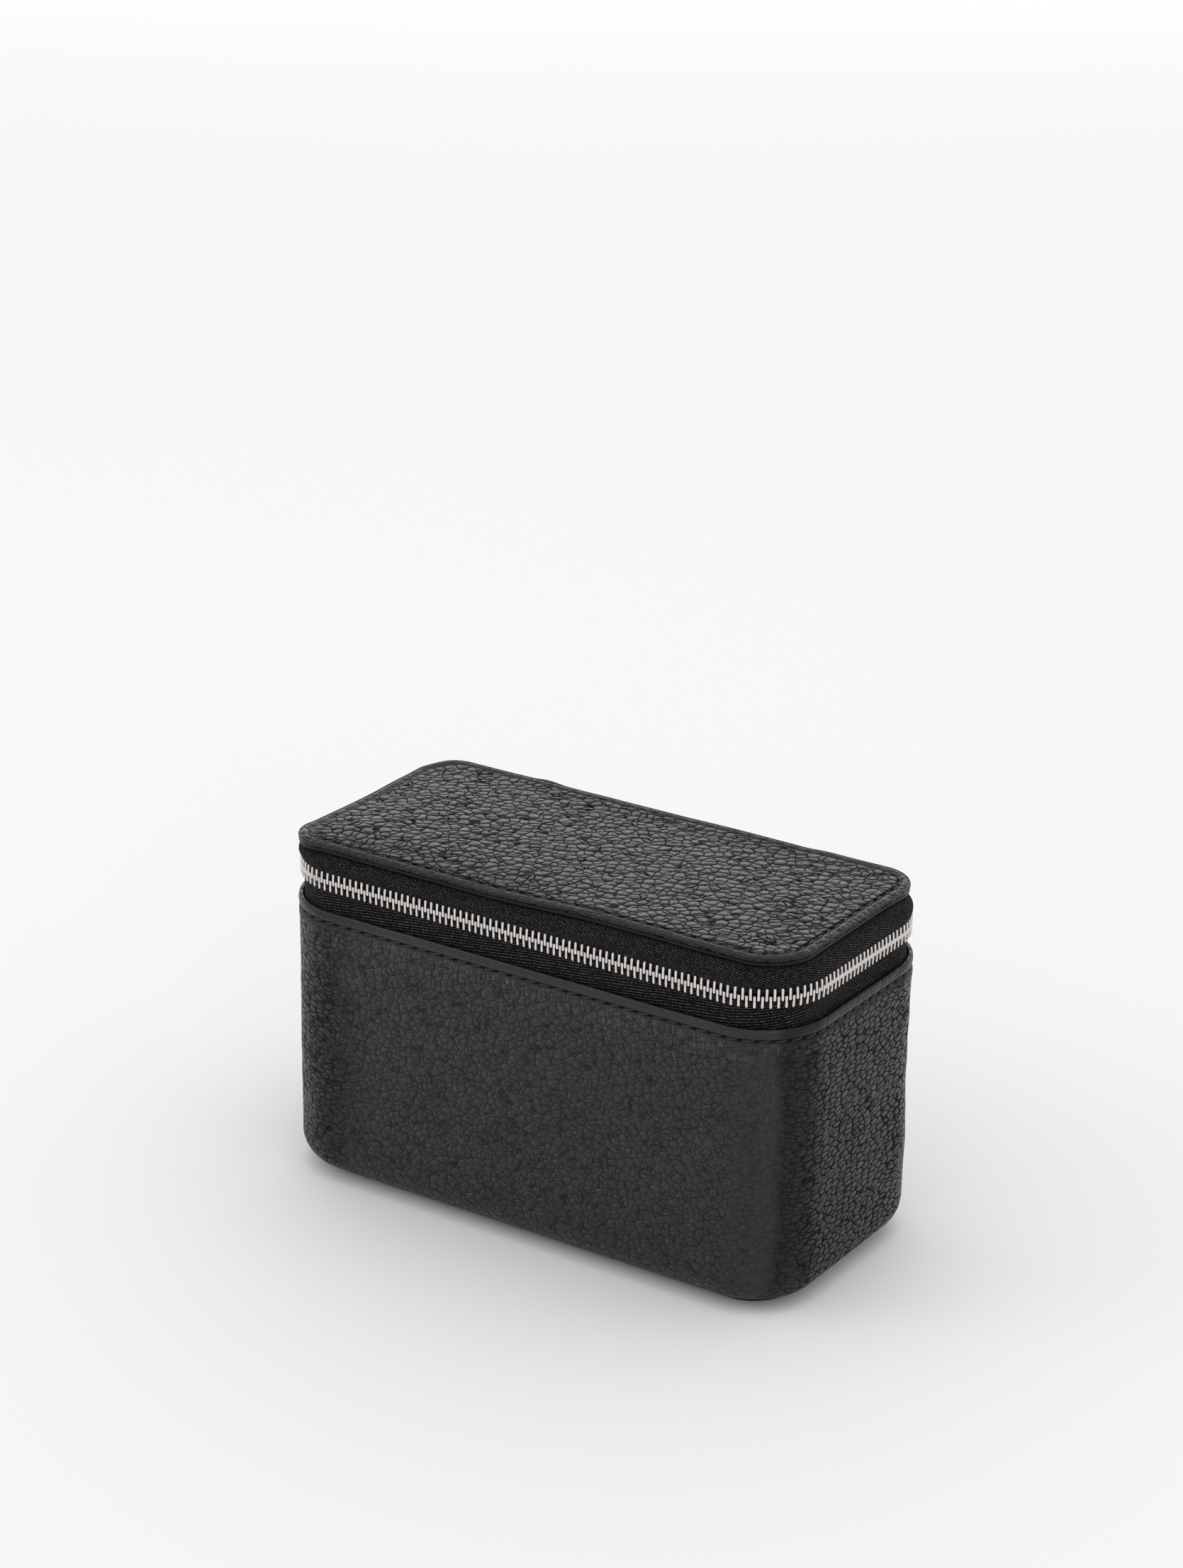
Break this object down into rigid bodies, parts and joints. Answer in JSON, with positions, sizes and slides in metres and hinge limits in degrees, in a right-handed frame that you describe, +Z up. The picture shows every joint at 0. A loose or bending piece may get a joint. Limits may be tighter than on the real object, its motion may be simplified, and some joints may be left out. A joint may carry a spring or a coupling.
{
  "type": "zipped jewellery case",
  "caption": "Rigid rectangular leather jewellery case with a zip round its rim, a lid hinged along the back, a lift-out ring tray and padded compartments.",
  "frame": {"origin": "centre of the base panel's underside", "axes": "+X along the case, +Y to the hinge at the back, +Z up"},
  "size_m": [0.15, 0.077, 0.092],
  "materials": {
    "black_leather": "semi-gloss, pebbled",
    "backing_leather": "matte, painted edge",
    "base_board": "matte, fine grain",
    "shell_board": "matte",
    "ledge_lining": "short nap",
    "lining_fabric": "short nap",
    "padding": "short nap",
    "thread": "waxed",
    "zip_tape": "herringbone weave",
    "zip_metal": "bright nickel",
    "slider_metal": "bright nickel",
    "tray_lining": "short nap",
    "ring_foam": "short nap",
    "ribbon": "satin"
  },
  "bodies": {
    "case": {"base_panel": "base_board", "body_leather": "black_leather", "body_shell": "shell_board", "case_lining": "lining_fabric", "floor_pad": "padding", "tray_ledge": "ledge_lining", "lower_divider": "ledge_lining", "rim_stitches": "thread", "lower_tape": "zip_tape", "lower_teeth": "zip_metal", "zip_end_tape_left": "zip_tape", "zip_end_tape_right": "zip_tape", "zip_end_chain_left": "zip_metal", "zip_end_chain_right": "zip_metal", "bottom_stop": "zip_metal", "top_stops": "zip_metal", "hinge_leather": "black_leather", "hinge_lining": "lining_fabric"},
    "lid": {"lid_leather": "black_leather", "lid_backing": "backing_leather", "lid_board": "shell_board", "lid_lining": "lining_fabric", "lid_pad": "padding", "lid_stitches": "thread", "upper_tape": "zip_tape", "upper_teeth": "zip_metal", "corner_teeth_left": "zip_metal", "corner_teeth_right": "zip_metal"},
    "zip_slider": {"slider_body": "slider_metal", "slider_bail": "slider_metal"},
    "zip_pull": {"pull_strap": "black_leather", "pull_stitches": "thread"},
    "tray": {"tray_wall": "tray_lining", "tray_floor": "tray_lining", "tray_divider_rolls": "tray_lining", "tray_divider_middle": "tray_lining", "tray_lift_loop": "ribbon", "ring_roll_1": "ring_foam", "ring_roll_2": "ring_foam", "ring_roll_3": "ring_foam", "ring_roll_4": "ring_foam"}
  },
  "joints": [
    {"name": "lid_hinge", "type": "hinge", "parent": "case", "child": "lid", "pos_m": [0, 0.0345, 0.0823], "axis": [-1, 0, 0], "range_deg": [0, 105], "deforming": ["hinge_leather", "hinge_lining", "zip_end_tape_left", "zip_end_tape_right", "corner_teeth_left", "corner_teeth_right"]},
    {"name": "slider_travel", "type": "slide", "parent": "case", "child": "zip_slider", "axis": [1, 0, 0], "range_m": [0, 0.005], "deforming": ["zip_end_chain_right"]},
    {"name": "pull_swing", "type": "hinge", "parent": "zip_slider", "child": "zip_pull", "pos_m": [0, 0.03905, 0.0823], "axis": [1, 0, 0], "range_deg": [0, 50]},
    {"name": "tray_lift", "type": "slide", "parent": "case", "child": "tray", "axis": [0, 0, 1], "range_m": [0, 0.01]}
  ]
}
